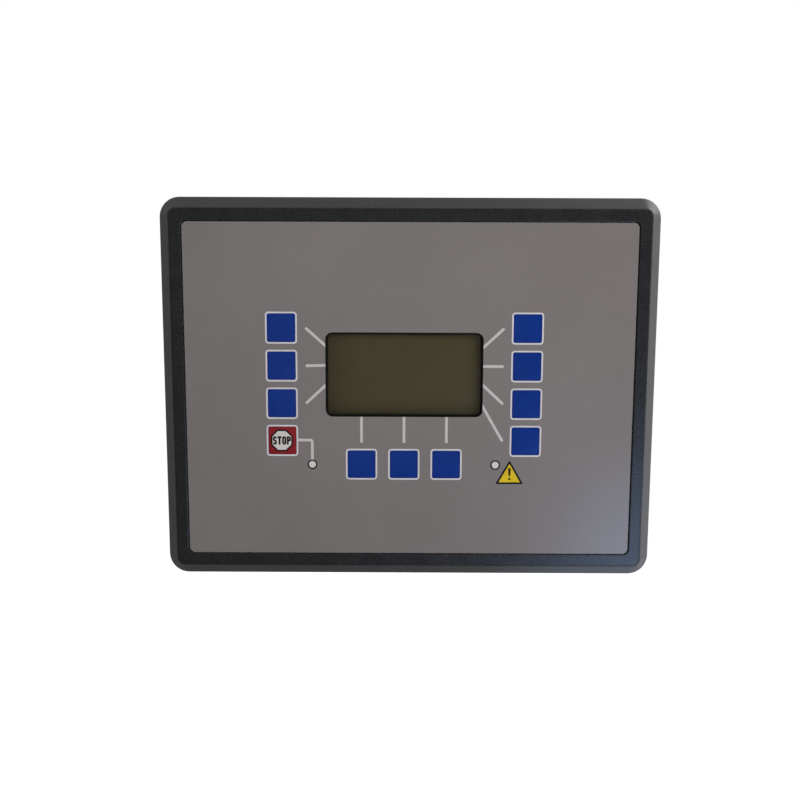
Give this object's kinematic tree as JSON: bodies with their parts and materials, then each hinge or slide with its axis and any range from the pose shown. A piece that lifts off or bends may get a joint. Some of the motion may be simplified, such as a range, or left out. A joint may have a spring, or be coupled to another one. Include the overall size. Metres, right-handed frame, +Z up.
{
  "type": "genset controller",
  "caption": "Flush-mount generator-set controller: sloped front flange with display, soft keys, stop key and lamps, and a stepped rear housing with plug-in terminals.",
  "frame": {"origin": "middle of the flange's rear face, in the plane of the panel's front", "axes": "+X to the right seen from the front, +Y into the panel, +Z up"},
  "size_m": [0.282, 0.099, 0.217],
  "materials": {
    "grained_black": "moulded, fine grain",
    "housing_black": "moulded, fine grain",
    "overlay_film": "satin printed film",
    "clear_acrylic": "clear pane",
    "black_foam": "closed-cell foam",
    "blackened_steel": "blackened sheet",
    "lcd_cell": "unlit liquid-crystal cell",
    "diffuser_white": "diffuser",
    "circuit_board": "solder resist",
    "screw_steel": "zinc plated",
    "key_blue": "printed film, satin",
    "key_red": "printed film, satin",
    "black_nylon": "moulded",
    "lens_white": "translucent",
    "insert_brass": "turned",
    "terminal_green": "moulded",
    "relay_blue": "moulded",
    "winding_tape": "wound",
    "capacitor_sleeve": "shrink sleeve",
    "ribbon_grey": "flat cable"
  },
  "bodies": {
    "unit": {"front_frame": "grained_black", "keypad_overlay": "overlay_film", "display_window": "clear_acrylic", "display_seal": "black_foam", "lcd_frame": "blackened_steel", "lcd_glass": "lcd_cell", "lcd_backlight": "diffuser_white", "lcd_board": "circuit_board", "lcd_screws": "screw_steel", "key_switches": "black_nylon", "stop_lamp_lens": "lens_white", "alarm_lamp_lens": "lens_white", "indicator_leds": "lens_white", "front_board": "circuit_board", "front_board_screws": "screw_steel", "panel_gasket": "black_foam", "thread_inserts": "insert_brass", "rear_housing": "housing_black", "housing_screws": "screw_steel", "main_board": "circuit_board", "main_board_screws": "screw_steel", "terminal_plug_top_left": "terminal_green", "terminal_plug_top_right": "terminal_green", "terminal_plug_bottom_left": "terminal_green", "voltage_plug": "terminal_green", "current_terminal": "black_nylon", "plug_headers": "terminal_green", "terminal_screws": "screw_steel", "service_socket": "black_nylon", "relays": "relay_blue", "current_transformers": "black_nylon", "supply_transformer": "winding_tape", "supply_capacitors": "capacitor_sleeve", "processor": "black_nylon", "backup_battery": "screw_steel", "battery_holder": "black_nylon", "ribbon_cable": "ribbon_grey", "ribbon_sockets": "black_nylon"},
    "softkey_left_1": {"softkey_left_1": "key_blue"},
    "softkey_left_2": {"softkey_left_2": "key_blue"},
    "softkey_left_3": {"softkey_left_3": "key_blue"},
    "stop_key": {"stop_key": "key_red"},
    "softkey_bottom_1": {"softkey_bottom_1": "key_blue"},
    "softkey_bottom_2": {"softkey_bottom_2": "key_blue"},
    "softkey_bottom_3": {"softkey_bottom_3": "key_blue"},
    "softkey_right_1": {"softkey_right_1": "key_blue"},
    "softkey_right_2": {"softkey_right_2": "key_blue"},
    "softkey_right_3": {"softkey_right_3": "key_blue"},
    "softkey_right_4": {"softkey_right_4": "key_blue"}
  },
  "joints": [
    {"name": "softkey_left_1_press", "type": "slide", "parent": "unit", "child": "softkey_left_1", "axis": [0, 1, 0], "range_m": [0, 0.0005], "stiffness_N_per_m": 3000},
    {"name": "softkey_left_2_press", "type": "slide", "parent": "unit", "child": "softkey_left_2", "axis": [0, 1, 0], "range_m": [0, 0.0005], "stiffness_N_per_m": 3000},
    {"name": "softkey_left_3_press", "type": "slide", "parent": "unit", "child": "softkey_left_3", "axis": [0, 1, 0], "range_m": [0, 0.0005], "stiffness_N_per_m": 3000},
    {"name": "stop_key_press", "type": "slide", "parent": "unit", "child": "stop_key", "axis": [0, 1, 0], "range_m": [0, 0.0005], "stiffness_N_per_m": 3000},
    {"name": "softkey_bottom_1_press", "type": "slide", "parent": "unit", "child": "softkey_bottom_1", "axis": [0, 1, 0], "range_m": [0, 0.0005], "stiffness_N_per_m": 3000},
    {"name": "softkey_bottom_2_press", "type": "slide", "parent": "unit", "child": "softkey_bottom_2", "axis": [0, 1, 0], "range_m": [0, 0.0005], "stiffness_N_per_m": 3000},
    {"name": "softkey_bottom_3_press", "type": "slide", "parent": "unit", "child": "softkey_bottom_3", "axis": [0, 1, 0], "range_m": [0, 0.0005], "stiffness_N_per_m": 3000},
    {"name": "softkey_right_1_press", "type": "slide", "parent": "unit", "child": "softkey_right_1", "axis": [0, 1, 0], "range_m": [0, 0.0005], "stiffness_N_per_m": 3000},
    {"name": "softkey_right_2_press", "type": "slide", "parent": "unit", "child": "softkey_right_2", "axis": [0, 1, 0], "range_m": [0, 0.0005], "stiffness_N_per_m": 3000},
    {"name": "softkey_right_3_press", "type": "slide", "parent": "unit", "child": "softkey_right_3", "axis": [0, 1, 0], "range_m": [0, 0.0005], "stiffness_N_per_m": 3000},
    {"name": "softkey_right_4_press", "type": "slide", "parent": "unit", "child": "softkey_right_4", "axis": [0, 1, 0], "range_m": [0, 0.0005], "stiffness_N_per_m": 3000}
  ]
}
